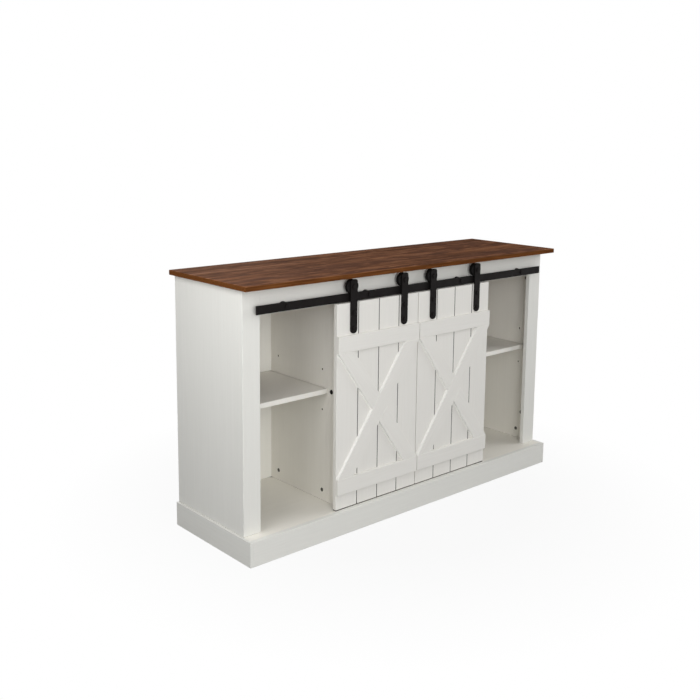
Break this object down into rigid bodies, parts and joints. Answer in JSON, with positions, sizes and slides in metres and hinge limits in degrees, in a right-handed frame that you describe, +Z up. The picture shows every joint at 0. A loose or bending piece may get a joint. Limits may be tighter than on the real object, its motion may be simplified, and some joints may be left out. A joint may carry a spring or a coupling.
{
  "type": "sideboard buffet cabinet",
  "caption": "Sideboard with a walnut-look top, a white carcass with open side shelves and sliding barn doors that hang on wheels from a flat black rail.",
  "frame": {"origin": "on the floor under the middle of the top panel", "axes": "+X along the cabinet to the right as seen from the front, +Y from the front to the back, +Z up"},
  "size_m": [1.37, 0.395, 0.81],
  "materials": {
    "walnut_top": "streaky reddish walnut print, satin",
    "white_carcass": "off-white foil with a fine embossed grain",
    "white_door": "warm white foil with a fine embossed grain",
    "back_board": "off-white printed hardboard",
    "black_steel": "matte black powder coat",
    "black_wheel": "matte black",
    "zinc_fittings": "dull zinc",
    "guide_plastic": "matte black",
    "dowel_wood": "raw beech"
  },
  "bodies": {
    "cabinet": {"apron": "white_carcass", "cam_bolts": "zinc_fittings", "cam_locks": "zinc_fittings", "centre_back_panel": "back_board", "centre_shelf": "white_carcass", "centre_shelf_bolts": "black_steel", "dowels": "dowel_wood", "floor_panel": "white_carcass", "guide_screws": "zinc_fittings", "left_back_panel": "back_board", "left_divider": "white_carcass", "left_floor_guide": "guide_plastic", "left_plinth_side": "white_carcass", "left_shelf": "white_carcass", "left_side_panel": "white_carcass", "left_stile": "white_carcass", "plinth_back": "white_carcass", "plinth_front": "white_carcass", "plinth_runners": "white_carcass", "rail_bolts": "black_steel", "rail_nuts": "zinc_fittings", "rail_spacers": "black_steel", "right_back_panel": "back_board", "right_divider": "white_carcass", "right_floor_guide": "guide_plastic", "right_plinth_side": "white_carcass", "right_shelf": "white_carcass", "right_side_panel": "white_carcass", "right_stile": "white_carcass", "shelf_pins": "zinc_fittings", "slide_rail": "black_steel", "top_panel": "walnut_top"},
    "left_door": {"left_axle_bolts": "black_steel", "left_door_bottom_batten": "white_door", "left_door_long_brace": "white_door", "left_door_lower_brace": "white_door", "left_door_panel": "white_door", "left_door_top_batten": "white_door", "left_door_upper_brace": "white_door", "left_hanger_nuts": "zinc_fittings", "left_inner_strap": "black_steel", "left_outer_strap": "black_steel", "left_strap_bolts": "black_steel"},
    "right_door": {"right_axle_bolts": "black_steel", "right_door_bottom_batten": "white_door", "right_door_long_brace": "white_door", "right_door_lower_brace": "white_door", "right_door_panel": "white_door", "right_door_top_batten": "white_door", "right_door_upper_brace": "white_door", "right_hanger_nuts": "zinc_fittings", "right_inner_strap": "black_steel", "right_outer_strap": "black_steel", "right_strap_bolts": "black_steel"},
    "left_inner_wheel": {"left_inner_wheel": "black_wheel"},
    "left_outer_wheel": {"left_outer_wheel": "black_wheel"},
    "right_inner_wheel": {"right_inner_wheel": "black_wheel"},
    "right_outer_wheel": {"right_outer_wheel": "black_wheel"}
  },
  "joints": [
    {"name": "left_door_slide", "type": "slide", "parent": "cabinet", "child": "left_door", "axis": [-1, 0, 0], "range_m": [0, 0.3]},
    {"name": "left_outer_wheel_spin", "type": "hinge", "parent": "left_door", "child": "left_outer_wheel", "pos_m": [-0.2795, -0.1725, 0.767], "axis": [0, 1, 0], "range_deg": [-900, 15]},
    {"name": "left_inner_wheel_spin", "type": "hinge", "parent": "left_door", "child": "left_inner_wheel", "pos_m": [-0.0655, -0.1725, 0.767], "axis": [0, 1, 0], "range_deg": [-900, 15]},
    {"name": "right_door_slide", "type": "slide", "parent": "cabinet", "child": "right_door", "axis": [1, 0, 0], "range_m": [0, 0.3]},
    {"name": "right_outer_wheel_spin", "type": "hinge", "parent": "right_door", "child": "right_outer_wheel", "pos_m": [0.2795, -0.1725, 0.767], "axis": [0, 1, 0], "range_deg": [-15, 900]},
    {"name": "right_inner_wheel_spin", "type": "hinge", "parent": "right_door", "child": "right_inner_wheel", "pos_m": [0.0655, -0.1725, 0.767], "axis": [0, 1, 0], "range_deg": [-15, 900]}
  ],
  "couplings": [
    {"joint": "left_outer_wheel_spin", "follows": "left_door_slide", "rad_per_m": -51.282},
    {"joint": "left_inner_wheel_spin", "follows": "left_door_slide", "rad_per_m": -51.282},
    {"joint": "right_outer_wheel_spin", "follows": "right_door_slide", "rad_per_m": 51.282},
    {"joint": "right_inner_wheel_spin", "follows": "right_door_slide", "rad_per_m": 51.282}
  ]
}
